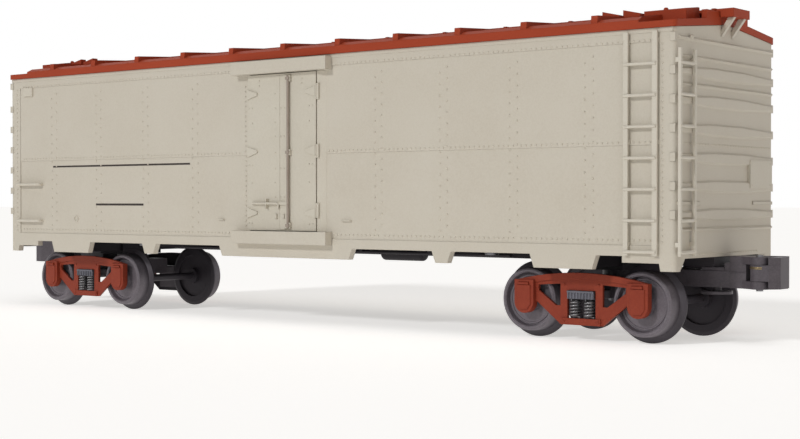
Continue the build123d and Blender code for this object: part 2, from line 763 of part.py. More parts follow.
with BuildPart() as brake_line:
    with BuildSketch(Plane.YZ.offset(-brake_line_half_length)):
        with Locations((-brake_line_y, brake_line_z)):
            Circle(brake_line_r)
    extrude(amount=2 * brake_line_half_length)
    with BuildSketch(Plane.XY.offset(floor_bottom_z)):
        for x in brake_line_hangers:
            with Locations((x, -brake_line_y)):
                Rectangle(hanger_l, 3 * brake_line_r)
    extrude(amount=brake_line_z - floor_bottom_z)
save(brake_line.part, "brake_line")

# Wheelset: axle and two flanged wheels turned as one, as distance along the axle and radius
wheel_inner_y = wheel_outer_y - wheel_w
journal_tip_y = wheel_outer_y + journal_length
rim_inner_r = tread_r - wheel_rim_w
half_profile = (
    (0, 0), (0, axle_r), (wheel_inner_y - 0.8, axle_r), (wheel_inner_y - 0.8, hub_r),
    (wheel_inner_y + 0.8, hub_r), (wheel_inner_y + 0.8, rim_inner_r), (wheel_inner_y, rim_inner_r),
    (wheel_inner_y, tread_r + 0.8), (wheel_inner_y + 0.4, tread_r + flange_h),
    (wheel_inner_y + flange_w - 0.3, tread_r + flange_h), (wheel_inner_y + flange_w + 0.3, tread_r + 0.15),
    (wheel_outer_y - 0.3, tread_r - 0.1), (wheel_outer_y, tread_r - 0.4), (wheel_outer_y, rim_inner_r),
    (wheel_outer_y - wheel_dish, rim_inner_r - 0.4), (wheel_outer_y - wheel_dish, hub_r + 0.4),
    (wheel_outer_y - 0.2, hub_r), (wheel_outer_y - 0.2, journal_r + 0.3), (wheel_outer_y, journal_r),
    (journal_tip_y, journal_r), (journal_tip_y, 0))
with BuildPart() as wheelset:
    with BuildSketch(Plane.YZ):
        with BuildLine():
            Polyline(*[(y, axle_z + r) for y, r in half_profile], close=True)
        make_face()
    revolve(axis=Axis((0, 0, axle_z), (0, 1, 0)))
    mirror(about=Plane.XZ)

# Side frame: cast web with a rim, two windows, a spring pocket and two journal boxes
box_x = wheelbase / 2
flank_z = arch_end_z - 5.2
frame_outline = ((arch_end_x, arch_end_z), (arch_end_x, flank_z), (frame_knee_x, frame_knee_z),
                 (frame_foot_half, frame_bottom_z), (-frame_foot_half, frame_bottom_z),
                 (-frame_knee_x, frame_knee_z), (-arch_end_x, flank_z), (-arch_end_x, arch_end_z))
window_corners = ((window_inner_x, window_top_z), (window_inner_x, window_bottom_z),
                  (window_inner_x + 1.5, window_bottom_z), (window_outer_x, window_top_z - 2),
                  (window_outer_x, window_top_z - 0.5))
chord_low_z = arch_end_z - chord_t
with BuildPart() as side_frame:
    with BuildSketch(Plane.XZ.offset(frame_inner_y)):
        with BuildLine():
            ThreePointArc((-arch_end_x, arch_end_z), (0, arch_crown_z), (arch_end_x, arch_end_z))
            Polyline(*frame_outline)
        make_face()
        for side in (-1, 1):
            with BuildLine():
                Polyline(*[(side * x, z) for x, z in window_corners], close=True)
            make_face(mode=Mode.SUBTRACT)
        with Locations((0, (pocket_bottom_z + pocket_top_z) / 2)):
            Rectangle(2 * pocket_half_w, pocket_top_z - pocket_bottom_z, mode=Mode.SUBTRACT)
    extrude(amount=frame_web_t)
    # Raised rim along the arch, and a ledge under the springs
    with BuildSketch(Plane.XZ.offset(frame_inner_y)):
        with BuildLine():
            ThreePointArc((-arch_end_x, arch_end_z), (0, arch_crown_z), (arch_end_x, arch_end_z))
            Line((arch_end_x, arch_end_z), (arch_end_x, chord_low_z))
            ThreePointArc((arch_end_x, chord_low_z), (0, arch_crown_z - chord_t), (-arch_end_x, chord_low_z))
            Line((-arch_end_x, chord_low_z), (-arch_end_x, arch_end_z))
        make_face()
        with Locations((0, (frame_bottom_z + pocket_bottom_z) / 2)):
            Rectangle(2 * frame_foot_half - 1, pocket_bottom_z - frame_bottom_z)
    extrude(amount=frame_rim_t)
    # Journal boxes with rounded bottoms and bored for the axle ends
    box_mid_z = box_bottom_z + box_w / 2
    for x in (-box_x, box_x):
        with BuildSketch(Plane.XZ.offset(frame_inner_y)):
            with Locations((x, (box_mid_z + box_top_z) / 2)):
                Rectangle(box_w, box_top_z - box_mid_z)
            with Locations((x, box_mid_z)):
                Circle(box_w / 2)
        extrude(amount=box_outer_y - frame_inner_y)
        with BuildSketch(Plane.XZ.offset(frame_inner_y)):
            with Locations((x, axle_z)):
                Circle(journal_r + bearing_clearance)
        extrude(amount=journal_tip_y - frame_inner_y + 0.3, mode=Mode.SUBTRACT)

# Bolster: flat bar between the side frames with a deeper middle and the pivot hole
bolster_end_y = frame_inner_y + frame_rim_t
with BuildPart() as bolster:
    with BuildSketch(Plane.XY.offset(bolster_bottom_z)):
        Rectangle(2 * bolster_half_w, 2 * bolster_end_y)
    extrude(amount=bolster_top_z - bolster_bottom_z)
    with BuildSketch(Plane.XY.offset(bolster_bottom_z)):
        Rectangle(2 * bolster_mid_half_w, 2 * bolster_mid_half_len)
    extrude(amount=bolster_mid_top_z - bolster_bottom_z)
    with BuildSketch(Plane.XY.offset(bolster_mid_top_z)):
        Circle(centre_boss_r)
    extrude(amount=bolster_pad_z - centre_boss_gap - bolster_mid_top_z)
    with BuildSketch(Plane.XY.offset(bolster_bottom_z)):
        Circle(pivot_r + pivot_clearance)
    extrude(amount=bolster_pad_z - bolster_bottom_z, mode=Mode.SUBTRACT)

# Pairs of springs standing in the side frame's pocket under the bolster end
spring_y = frame_inner_y + frame_web_t / 2
with BuildPart() as springs:
    with BuildSketch(Plane.XY.offset(pocket_bottom_z)):
        with GridLocations(2 * spring_offset, 2 * spring_y, 2, 2):
            Circle(spring_r)
            Circle(spring_r - spring_wire_d, mode=Mode.SUBTRACT)
    extrude(amount=bolster_bottom_z - pocket_bottom_z)

# Pivot screw through the bolster into the floor
screw_seat_z = bolster_bottom_z - centre_boss_gap
with BuildPart() as pivot_screw:
    with BuildSketch(Plane.XY.offset(screw_seat_z)):
        Circle(pivot_head_r)
    extrude(amount=-pivot_head_t)
    with BuildSketch(Plane.XY.offset(screw_seat_z)):
        Circle(pivot_r)
    extrude(amount=floor_bottom_z + floor_t - screw_seat_z)

# Coupler: arm from the bolster, head with a guard arm, and lugs round the knuckle pin
with BuildPart() as coupler_arm:
    with BuildSketch(Plane.XZ.offset(-arm_half_w)):
        with BuildLine():
            Polyline((bolster_mid_half_w, arm_bottom_z), (head_start_x, arm_bottom_z),
                     (head_start_x, arm_top_z), (arm_rise_x, arm_top_z), (arm_rise_x, arm_low_top_z),
                     (bolster_mid_half_w, arm_low_top_z), close=True)
        make_face()
    extrude(amount=2 * arm_half_w)

lug_outline = ((head_box_end_x - 1, -head_half_w), (knuckle_pin_x, knuckle_pin_y - lug_r),
               (knuckle_pin_x + 1.6, knuckle_pin_y + 1.7), (head_box_end_x - 1, 1.0))
guard_outline = ((head_box_end_x, 0.4), (head_box_end_x, head_half_w), (guard_x - 3, guard_y),
                 (guard_x, guard_y), (guard_x, guard_y - 1.6), (guard_x - 4.5, guard_y - 2.9),
                 (guard_x - 5.5, 0.4))
with BuildPart() as coupler:
    with BuildSketch(Plane.XY.offset(head_bottom_z)):
        with Locations(((head_start_x + head_box_end_x) / 2, 0)):
            Rectangle(head_box_end_x - head_start_x, 2 * head_half_w)
        with BuildLine():
            Polyline(*guard_outline, close=True)
        make_face()
    extrude(amount=head_top_z - head_bottom_z)
    # Lugs above and below the knuckle, bored for its pin
    for z in (head_bottom_z, head_top_z - lug_t):
        with BuildSketch(Plane.XY.offset(z)):
            with Locations((knuckle_pin_x, knuckle_pin_y)):
                Circle(lug_r)
            with BuildLine():
                Polyline(*lug_outline, close=True)
            make_face()
            with Locations((knuckle_pin_x, knuckle_pin_y)):
                Circle(knuckle_pin_r, mode=Mode.SUBTRACT)
        extrude(amount=lug_t)

knuckle_bottom_z = head_bottom_z + lug_t + knuckle_gap
knuckle_h = head_top_z - lug_t - knuckle_gap - knuckle_bottom_z
knuckle_outline = ((knuckle_pin_x, knuckle_pin_y - lug_r), (knuckle_nose_x - 2, knuckle_pin_y - 1.6),
                   (knuckle_nose_x, knuckle_pin_y + 1), (knuckle_nose_x, 1.3), (knuckle_nose_x - 2.4, 1.7),
                   (knuckle_nose_x - 3.0, knuckle_pin_y + 3.2), (knuckle_pin_x + 1, knuckle_pin_y + 2.0))
nose_outline = ((knuckle_nose_x - 2.2, knuckle_pin_y - 1.7), (knuckle_nose_x, knuckle_pin_y + 1),
                (knuckle_nose_x, 1.3), (knuckle_nose_x - 2.4, 1.7),
                (knuckle_nose_x - 2.6, knuckle_pin_y + 3.4))
with BuildPart() as knuckle:
    # Nose as tall as the head
    with BuildSketch(Plane.XY.offset(head_bottom_z + nose_gap)):
        with BuildLine():
            Polyline(*nose_outline, close=True)
        make_face()
    extrude(amount=head_top_z - head_bottom_z - 2 * nose_gap)
    with BuildSketch(Plane.XY.offset(knuckle_bottom_z)):
        with Locations((knuckle_pin_x, knuckle_pin_y)):
            Circle(lug_r)
        with BuildLine():
            Polyline(*knuckle_outline, close=True)
        make_face()
        with Locations((knuckle_pin_x, knuckle_pin_y)):
            Circle(knuckle_pin_r + bearing_clearance, mode=Mode.SUBTRACT)
    extrude(amount=knuckle_h)

with BuildPart() as knuckle_pin:
    with BuildSketch(Plane.XY.offset(head_bottom_z - knuckle_pin_proud)):
        with Locations((knuckle_pin_x, knuckle_pin_y)):
            Circle(knuckle_pin_r)
    extrude(amount=head_top_z - head_bottom_z + 2 * knuckle_pin_proud)

# Uncoupling plate under the coupler arm, on a short stem
with BuildPart() as uncoupler_plate:
    with BuildSketch(Plane.XY.offset(plate_z)):
        with Locations((plate_x, 0)):
            Circle(plate_r)
    extrude(amount=plate_t)
    with BuildSketch(Plane.XY.offset(plate_z + plate_t)):
        with Locations((plate_x, 0)):
            Circle(plate_stem_r)
    extrude(amount=arm_bottom_z - plate_z - plate_t)

# Both trucks, the second turned half round
for letter, angle in (("a", 0), ("b", 180)):
    at_truck = Location((0, 0, 0), (0, 0, angle)) * Location((truck_x, 0, 0))
    save(bolster.part.moved(at_truck), f"truck_{letter}_bolster")
    save(side_frame.part.moved(at_truck), f"truck_{letter}_frame_right")
    save(side_frame.part.moved(at_truck * half_turn), f"truck_{letter}_frame_left")
    save(springs.part.moved(at_truck), f"truck_{letter}_springs")
    save(pivot_screw.part.moved(at_truck), f"pivot_screw_{letter}")
    save(coupler_arm.part.moved(at_truck), f"coupler_arm_{letter}")
    save(coupler.part.moved(at_truck), f"coupler_{letter}")
    save(knuckle.part.moved(at_truck), f"knuckle_{letter}")
    save(knuckle_pin.part.moved(at_truck), f"knuckle_pin_{letter}")
    save(uncoupler_plate.part.moved(at_truck), f"uncoupler_plate_{letter}")
    for number, offset in ((1, -box_x), (2, box_x)):
        save(wheelset.part.moved(at_truck * Location((offset, 0, 0))), f"wheelset_{letter}{number}")
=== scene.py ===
"""Looks for the model refrigerator car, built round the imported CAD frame.

Frame: metres, +X along the car, +Z up, and the wheel flanges stand on z = 0.
Sizes and places below are millimetres of the real model, and MM turns them into metres. Only the
camera's place and the floor paper are given in metres.
The car looks the same turned half round about Z, so most pieces are built for the near side (-Y),
the +X end or truck a, and a copy turned half round serves the other one.
"""
import json
import math
import bpy
from mathutils import Matrix, Vector


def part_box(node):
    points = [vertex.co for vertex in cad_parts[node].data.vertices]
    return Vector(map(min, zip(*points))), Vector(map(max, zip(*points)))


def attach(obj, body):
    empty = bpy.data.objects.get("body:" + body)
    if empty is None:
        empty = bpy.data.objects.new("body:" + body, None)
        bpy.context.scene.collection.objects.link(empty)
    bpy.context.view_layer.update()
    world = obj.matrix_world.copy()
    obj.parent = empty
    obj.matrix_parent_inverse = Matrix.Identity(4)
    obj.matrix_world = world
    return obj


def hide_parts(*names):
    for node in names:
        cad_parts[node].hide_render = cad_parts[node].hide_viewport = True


MM = 0.001
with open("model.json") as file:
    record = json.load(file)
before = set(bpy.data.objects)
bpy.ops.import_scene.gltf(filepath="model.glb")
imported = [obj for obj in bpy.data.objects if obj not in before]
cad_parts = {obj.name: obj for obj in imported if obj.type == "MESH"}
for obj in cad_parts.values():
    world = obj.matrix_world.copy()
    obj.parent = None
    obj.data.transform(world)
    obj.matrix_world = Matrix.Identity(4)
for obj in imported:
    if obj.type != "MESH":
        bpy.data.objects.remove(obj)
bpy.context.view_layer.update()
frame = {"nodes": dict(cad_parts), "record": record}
HALF_TURN = Matrix.Rotation(math.pi, 4, "Z")

# Ends of a node's box, axes, and the directions in which rivet heads stand
LOW, HIGH = 0, 1
X, Y, Z = 0, 1, 2
OUT_OF_SIDE, OUT_OF_END, UP = (0, -1, 0), (1, 0, 0), (0, 0, 1)


def reach(node, end, axis):
    """Where a CAD node ends, low or high along an axis, in millimetres."""
    return round(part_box(node)[end][axis] / MM, 3)


def middle(node, axis):
    """Middle of a CAD node along an axis, in millimetres."""
    return (reach(node, LOW, axis) + reach(node, HIGH, axis)) / 2


# Body: corner strips, letterboard and sill frame each side, and two lapped sheets lie behind them
SIDE_Y = reach("side_ladder_near", HIGH, Y)
LOWER_SHEET_Y = SIDE_Y + 0.25
UPPER_SHEET_Y = LOWER_SHEET_Y - 0.12
END_X = reach("end_ladder_right", LOW, X)
CORNER_X = END_X - 5.4
EAVE_Z = reach("roof", LOW, Z)
LETTER_Z = EAVE_Z - 3.45
LAP_Z = 51.9
SILL_Z = 26.3

# Door: the face of its panel, behind the moulded rod, which is the part that stands out most
DOOR_Y = reach("door_near", LOW, Y) + 0.7
DOOR_LOW_Z = 28.4
DOOR_TOP_Z = EAVE_Z - 4.55

# Placard board: its two edges across the end, its lower and upper edge, and its face
BOARD_EDGES_Y = (12.5, 26.1)
BOARD_EDGES_Z = (reach("placard_boards", LOW, Z), reach("placard_boards", HIGH, Z))
BOARD_FACE_X = END_X + 0.95

# Ladders: all of them have rungs at the same heights
LADDER_LOW_Z = reach("side_ladder_near", LOW, Z)
LADDER_TOP_Z = reach("side_ladder_near", HIGH, Z)
RUNG_HEIGHTS = [LADDER_LOW_Z + 1.0 + 7.97 * k for k in range(7)]

# Truck a: pivot, axles, and the faces of its side frame, bolster end and wheels, as distances from y = 0
TRUCK_X = middle("pivot_screw_a", X)
AXLES_X = (middle("wheelset_a1", X), middle("wheelset_a2", X))
AXLE_Z = reach("wheelset_a1", HIGH, Z) / 2
JOURNAL_BOX_Y = reach("truck_a_frame_left", HIGH, Y)
BOLSTER_END_Y = reach("truck_a_bolster", HIGH, Y)
FRAME_RIM_Y = BOLSTER_END_Y
FRAME_WEB_Y = FRAME_RIM_Y - 0.4
SPRING_Y = 20.35
WHEEL_FACE_Y = 19.6

# How far a small fitting reaches into the wall that carries it
BEDDED = 0.1

# Bodies that a piece for the near side, the +X end or truck a rides on, and those of its turned copy
CAR = ("car_body", "car_body")
DOORS = ("door_near", "door_far")
TRUCKS = ("truck_a", "truck_b")


# Materials
def linear(code):
    """sRGB hex to linear RGBA."""
    values = [int(code[i:i + 2], 16) / 255 for i in (1, 3, 5)]
    return tuple(v / 12.92 if v <= 0.04045 else ((v + 0.055) / 1.055) ** 2.4 for v in values) + (1.0,)


def add(tree, kind, links=(), **settings):
    """One shader node. Settings name its properties or, with in_ before them, its inputs.

    Links are pairs of an input's name or number and the socket that feeds it.
    """
    node = tree.nodes.new(kind)
    for key, value in settings.items():
        if key.startswith("in_"):
            node.inputs[key[3:].replace("_", " ")].default_value = value
        else:
            setattr(node, key, value)
    for name, socket in links:
        tree.links.new(socket, node.inputs[name])
    return node


def core_near_middle(tree, place, outer_colour, core_mm, blend_mm, core_colour):
    """The outer colour, and a darker core colour nearer to the car's middle line than core_mm (painted
    shade on the wheels).
    """
    split = add(tree, "ShaderNodeSeparateXYZ", [("Vector", place.outputs["Object"])])
    distance = add(tree, "ShaderNodeMath", [(0, split.outputs["Y"])], operation="ABSOLUTE")
    painted = add(tree, "ShaderNodeMapRange", [("Value", distance.outputs["Value"])],
                  in_From_Min=(core_mm - blend_mm) * MM, in_From_Max=(core_mm + blend_mm) * MM)
    return add(tree, "ShaderNodeMixRGB", [("Fac", painted.outputs["Result"]), ("Color2", outer_colour)],
               in_Color1=linear(core_colour))


def surface(name, tones, rough, grain_mm, patch_mm=30.0, metal=0.0, bump_mm=0.012, edge_mm=0.12,
            shine=0.3, core=None):
    """A finish with soft patches and fine grain in its colour, gloss and relief, and rounded edges.

    tones are the colours from the darkest patch to the lightest, each with its place on the ramp.
    patch_mm is the width of the patches that handling and uneven spray leave.
    grain_mm is the width of the grain of spray, casting or tooling. The real grain is under 0.1 mm and
    would not show, so it is drawn 0.3 to 0.6 mm wide.
    edge_mm is the radius of the edges, and core is (core_mm, blend_mm, core_colour) for a darker core near
    the car's middle line, or nothing.
    """
    mat = bpy.data.materials.new(name)
    mat.use_nodes = True
    tree = mat.node_tree
    tree.nodes.clear()
    place = add(tree, "ShaderNodeTexCoord")
    patch = add(tree, "ShaderNodeTexNoise", [("Vector", place.outputs["Object"])],
                in_Scale=1000 / patch_mm, in_Detail=6.0, in_Roughness=0.62)
    grain = add(tree, "ShaderNodeTexNoise", [("Vector", place.outputs["Object"])],
                in_Scale=1000 / grain_mm, in_Detail=3.0, in_Roughness=0.6)
    mottle = add(tree, "ShaderNodeMixRGB",
                 [("Color1", patch.outputs["Fac"]), ("Color2", grain.outputs["Fac"])], in_Fac=0.5)
    colour = add(tree, "ShaderNodeValToRGB", [("Fac", mottle.outputs["Color"])])
    while len(colour.color_ramp.elements) < len(tones):
        colour.color_ramp.elements.new(0.5)
    for element, (position, tone) in zip(colour.color_ramp.elements, tones):
        element.position = position
        element.color = linear(tone)
    if core:
        colour = core_near_middle(tree, place, colour.outputs["Color"], *core)
    gloss = add(tree, "ShaderNodeMapRange", [("Value", grain.outputs["Fac"])],
                in_From_Min=0.3, in_From_Max=0.7, in_To_Min=rough - 0.06, in_To_Max=rough + 0.08)
    edge = add(tree, "ShaderNodeBevel", samples=4, in_Radius=edge_mm * MM)
    relief = add(tree, "ShaderNodeBump",
                 [("Height", grain.outputs["Fac"]), ("Normal", edge.outputs["Normal"])],
                 in_Strength=0.5, in_Distance=bump_mm * MM)
    shader = add(tree, "ShaderNodeBsdfPrincipled",
                 [("Base Color", colour.outputs["Color"]), ("Roughness", gloss.outputs["Result"]),
                  ("Normal", relief.outputs["Normal"])], in_Metallic=metal, in_Specular_IOR_Level=shine)
    add(tree, "ShaderNodeOutputMaterial", [("Surface", shader.outputs["BSDF"])])
    return mat


# Putty grey styrene, injection moulded and satin sprayed: an even warm grey with a broad, soft shine
BODY = surface("styrene_putty_satin", ((0.32, "#C1B9AA"), (0.52, "#C7C0B2"), (0.7, "#CAC4B7")),
               0.50, 0.5, edge_mm=0.3)
# The same on rivets and thin strips, whose narrow edges keep each head crisp to the eye
RIVET = surface("styrene_putty_fine_detail", ((0.32, "#C3BBAC"), (0.6, "#CBC5B7")),
                0.48, 0.5, edge_mm=0.05)
# Door panels of the same styrene, polished by hands: a shade lighter and glossier than the walls
DOOR = surface("styrene_putty_door", ((0.32, "#C2BBAC"), (0.6, "#CAC4B6")), 0.48, 0.5)
# Ladders and grab irons of the same styrene, moulded thin and smooth, with more gloss and a lighter colour
# that is painted highlight
WIRE = surface("styrene_putty_wire", ((0.3, "#C6BFB0"), (0.6, "#D0CABD")), 0.42, 0.4)
# Lock rod of the same styrene, in a brownish grey darker than the door that is painted shade, patchy along
# the rod
ROD_PAINTED_SHADE = surface("styrene_rod_painted_shade", ((0.35, "#8F8277"), (0.6, "#A0958A")), 0.5, 0.4, patch_mm=6.0)
# Oxide red styrene of the roof, flat sprayed over fine tooling grain: dull, with hardly a highlight
ROOF = surface("styrene_oxide_red_flat", ((0.3, "#953A21"), (0.5, "#9D3F25"), (0.68, "#A4442A")),
               0.55, 0.4, edge_mm=0.35, shine=0.15)
# Zinc die castings of the trucks, sprayed satin oxide red: an uneven red, and near black towards the car's
# middle line
RED_CAST = surface("zinc_casting_oxide_red", ((0.3, "#7F3020"), (0.5, "#883724"), (0.7, "#93402A")),
                   0.5, 0.6, patch_mm=7.0, bump_mm=0.03, edge_mm=0.25, shine=0.2,
                   core=(19.96, 0.02, "#2E2B2F"))
# Zinc wheels, turned and blackened: a worn grey sheen outside, and painted shade that darkens their backs
# and the axle
WHEEL = surface("zinc_blackened_turned_painted_shade_backs", ((0.3, "#5E595E"), (0.55, "#706A70"), (0.75, "#7F797E")),
                0.42, 0.5, patch_mm=9.0, metal=0.3, core=(16.0, 1.4, "#3D393E"))
# Zinc die castings of the couplers, chemically blackened: dark, with a slightly rough shine
BLACK_CAST = surface("zinc_casting_blackened", ((0.3, "#443F44"), (0.6, "#585257")),
                     0.42, 0.5, patch_mm=6.0, bump_mm=0.03, edge_mm=0.3)
# Black styrene of the floor and the brake equipment, moulded and left as it is: even and rather dull
BLACK = surface("styrene_black_satin", ((0.3, "#232024"), (0.6, "#2E2A2E")), 0.5, 0.5, shine=0.2)
# Steel spring wire, bright drawn: a hard light line along each coil
SPRING = surface("steel_wire_bright", ((0.3, "#5E5D60"), (0.7, "#8C8B8C")),
                 0.3, 0.3, patch_mm=2.0, metal=0.7)
# Brass wire of the small knuckle springs, drawn and a little tarnished: dull yellow with a sharp glint
BRASS = surface("brass_wire_drawn", ((0.3, "#8C7A58"), (0.7, "#A3916B")),
                0.35, 0.3, patch_mm=2.0, metal=0.9)
# Steel screws, zinc plated: pale grey metal that mirrors its surroundings softly
SCREW = surface("steel_screw_zinc_plated", ((0.3, "#77767A"), (0.7, "#8C8B8E")),
                0.35, 0.3, patch_mm=3.0, metal=0.9)
# Zinc bolster ends, left as cast under their grey oxide: a cool mottled grey between the red frames
GREY_CAST = surface("zinc_casting_grey", ((0.3, "#56565D"), (0.7, "#70707A")),
                    0.45, 0.5, patch_mm=4.0, metal=0.2)
# Brown-black ink, pad printed in a thin film: flatter than the wall, with hardly an edge of its own
INK = surface("pad_print_ink_dark", ((0.3, "#2E2724"), (0.7, "#3A322E")),
              0.55, 0.3, patch_mm=8.0, bump_mm=0.004)

FINISHES = {"body_plastic": BODY, "roof_plastic": ROOF, "door_plastic": DOOR, "red_castings": RED_CAST,
            "wheel_metal": WHEEL, "black_castings": BLACK_CAST, "black_plastic": BLACK,
            "spring_steel": SPRING, "screw_steel": SCREW}


def finish_solids():
    """Each CAD node gets the finish of its slot, and ladders and grab irons that of thin wires."""
    slot_of = {part["node"]: part["material_slot"] for part in frame["record"]["subparts"]}
    for name, obj in frame["nodes"].items():
        thin = "ladder" in name or name == "grab_irons"
        obj.data.materials.clear()
        obj.data.materials.append(WIRE if thin else FINISHES[slot_of[name]])


# Mesh pieces
def spaced(start, stop, pitch):
    """Places from start, a pitch apart, up to stop."""
    return [start + k * pitch for k in range(int((stop - start) / pitch + 1.001))]


def angles(count):
    """Directions that part a full turn evenly."""
    return [2 * math.pi * k / count for k in range(count)]


class Piece:
    """Collects corners in millimetres and faces, then becomes one object that rides on a CAD body."""

    def __init__(self):
        self.verts = []
        self.faces = []

    def put(self, points, faces):
        """Adds corners, and faces that count them from the first one added."""
        base = len(self.verts)
        self.verts.extend(Vector(p) for p in points)
        self.faces.extend([base + i for i in face] for face in faces)

    def loft(self, loops, ends=True):
        """Skin over loops with the same number of points, turning the same way, closed at the ends."""
        n = len(loops[0])
        faces = [(k * n + i, k * n + (i + 1) % n, (k + 1) * n + (i + 1) % n, (k + 1) * n + i)
                 for k in range(len(loops) - 1) for i in range(n)]
        if ends:
            faces.append(tuple(range(n - 1, -1, -1)))
            faces.append(tuple(range((len(loops) - 1) * n, len(loops) * n)))
        self.put([p for loop in loops for p in loop], faces)

    def box(self, x0, x1, y0, y1, z0, z1):
        """Block between two places along each axis. The two along Y may come in either order."""
        y0, y1 = sorted((y0, y1))
        self.loft([[(x0, y0, z), (x1, y0, z), (x1, y1, z), (x0, y1, z)] for z in (z0, z1)])

    def plate(self, x0, x1, z0, z1, y_back, y_front, bevel=0.0):
        """Upright plate on the near side from y_back out to y_front, smaller all round by bevel there."""
        self.loft([[(x0 + b, y, z0 + b), (x1 - b, y, z0 + b), (x1 - b, y, z1 - b), (x0 + b, y, z1 - b)]
                   for y, b in ((y_back, 0.0), (y_front, bevel))])

    def dome(self, at, normal, r, h, sides=8):
        """Rivet or bolt head: a low dome, sunk slightly into its wall."""
        n = Vector(normal).normalized()
        u = n.orthogonal().normalized()
        v = n.cross(u)
        rings = []
        for radius, rise in ((r, -0.08), (r * 0.96, h * 0.45), (r * 0.6, h * 0.9)):
            rings.append([Vector(at) + n * rise + (u * math.cos(a) + v * math.sin(a)) * radius
                          for a in angles(sides)])
        self.loft(rings, ends=False)
        base = len(self.verts) - sides
        self.verts.append(Vector(at) + n * h)
        self.faces.extend([base + i, base + (i + 1) % sides, base + sides] for i in range(sides))

    def rod(self, path, r, sides=10):
        """Round wire of radius r along a path of points."""
        pts = [Vector(p) for p in path]
        loops = []
        side = None
        for i, p in enumerate(pts):
            along = (pts[min(i + 1, len(pts) - 1)] - pts[max(i - 1, 0)]).normalized()
            side = along.orthogonal() if side is None else side - along * side.dot(along)
            side.normalize()
            other = along.cross(side)
            loops.append([p + (side * math.cos(a) + other * math.sin(a)) * r for a in angles(sides)])
        self.loft(loops)

    def coil(self, foot, radius, turns, height, wire, steps, sides, hand=1):
        """Wire of radius wire, wound up from foot round an upright line. The hand is 1 or -1."""
        x, y, z = foot
        path = []
        for k in range(steps + 1):
            a = 2 * math.pi * turns * k / steps
            path.append((x + radius * math.cos(a), y + hand * radius * math.sin(a), z + height * k / steps))
        self.rod(path, wire, sides)

    def turned(self, centre, profile, steps=48):
        """Profile of (place along Y, radius), turned round a line along Y through centre, an X and a Z."""
        cx, cz = centre
        loops = [[(cx + r * math.cos(a), y, cz + r * math.sin(a)) for y, r in profile]
                 for a in angles(steps)]
        n = len(profile)
        faces = []
        for k in range(steps):
            this, following = k * n, ((k + 1) % steps) * n
            faces.extend((this + i, following + i, following + (i + 1) % n, this + (i + 1) % n)
                         for i in range(n))
        self.put([p for loop in loops for p in loop], faces)

    def done(self, name, body, mat, slot, turn=False, smooth=40):
        """The object, turned half round or not. Edges sharper than smooth degrees stay sharp."""
        mesh = bpy.data.meshes.new(name)
        points = [v * MM for v in self.verts]
        if turn:
            points = [HALF_TURN @ v for v in points]
        mesh.from_pydata(points, [], self.faces)
        mesh.validate()
        mesh.update()
        mesh.shade_smooth()
        mesh.set_sharp_from_angle(angle=math.radians(smooth))
        mesh.materials.append(mat)
        obj = bpy.data.objects.new(name, mesh)
        bpy.context.scene.collection.objects.link(obj)
        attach(obj, body)
        return obj

    def both(self, name, bodies, mat, slot, **more):
        """The piece and its copy turned half round, on their two bodies."""
        return (self.done(name + "_a", bodies[0], mat, slot, **more),
                self.done(name + "_b", bodies[1], mat, slot, turn=True, **more))


# Rivets of the side walls
RIVET_R, RIVET_H = 0.28, 0.26
ROW_PITCH = 1.6
# Seams between the panels of a side, where the photograph shows them, and the gap between the two
# columns of rivets on each seam
SEAMS_X = (-109.85, -86.15, -62.45, -38.75, 37.6, 61.2, 84.9, 108.65)
COLUMN_GAP = 2.5


def side_rivet(rivets, x, z):
    """Rivet on whichever surface of the near side lies at this place."""
    if abs(x) > CORNER_X or z > LETTER_Z or z < SILL_Z:
        y = SIDE_Y
    else:
        y = UPPER_SHEET_Y if z > LAP_Z else LOWER_SHEET_Y
    rivets.dome((x, y, z), OUT_OF_SIDE, RIVET_R, RIVET_H)


def rivet_rows(rivets):
    """Rows along letterboard, lap and sill, broken at the seams of the left half, and mirrored."""
    outer_x, inner_x = CORNER_X - 0.6, 17.4
    covered_x = 20.3  # the beam over the door hides the letterboard up to here
    breaks = [-outer_x] + [x for x in SEAMS_X if x < 0] + [-inner_x]
    for z in (LETTER_Z + 0.45, LAP_Z + 0.75, SILL_Z + 1.3):
        for half in (-1, 1):
            for left, right in zip(breaks, breaks[1:]):
                first, last = left + COLUMN_GAP / 2, right - COLUMN_GAP / 2
                count = round((last - first) / ROW_PITCH)
                for k in range(count + 1):
                    x = first + k * (last - first) / count
                    if z < LETTER_Z or abs(x) >= covered_x:
                        side_rivet(rivets, half * x, z)


def rivet_columns(rivets):
    """Staggered pairs of columns on the seams, and single ones on the corner strips and by the door."""
    pair_pitch, corner_pitch, door_pitch = 3.18, 1.62, 1.55
    for seam_x in SEAMS_X:
        for z in spaced(29.2, 75.4, pair_pitch):
            side_rivet(rivets, seam_x - COLUMN_GAP / 2, z)
            side_rivet(rivets, seam_x + COLUMN_GAP / 2, z + pair_pitch / 2)
    for x in (-130.3, 130.3):
        for z in spaced(27.2, 77.6, corner_pitch):
            side_rivet(rivets, x, z)
    for z in spaced(30.0, 74.5, door_pitch):
        side_rivet(rivets, -16.0, z)


def side_rivets():
    """All rivets of the side wall, in one piece."""
    rivets = Piece()
    rivet_rows(rivets)
    rivet_columns(rivets)
    rivets.both("side_rivets", CAR, RIVET, "body_plastic", smooth=80)


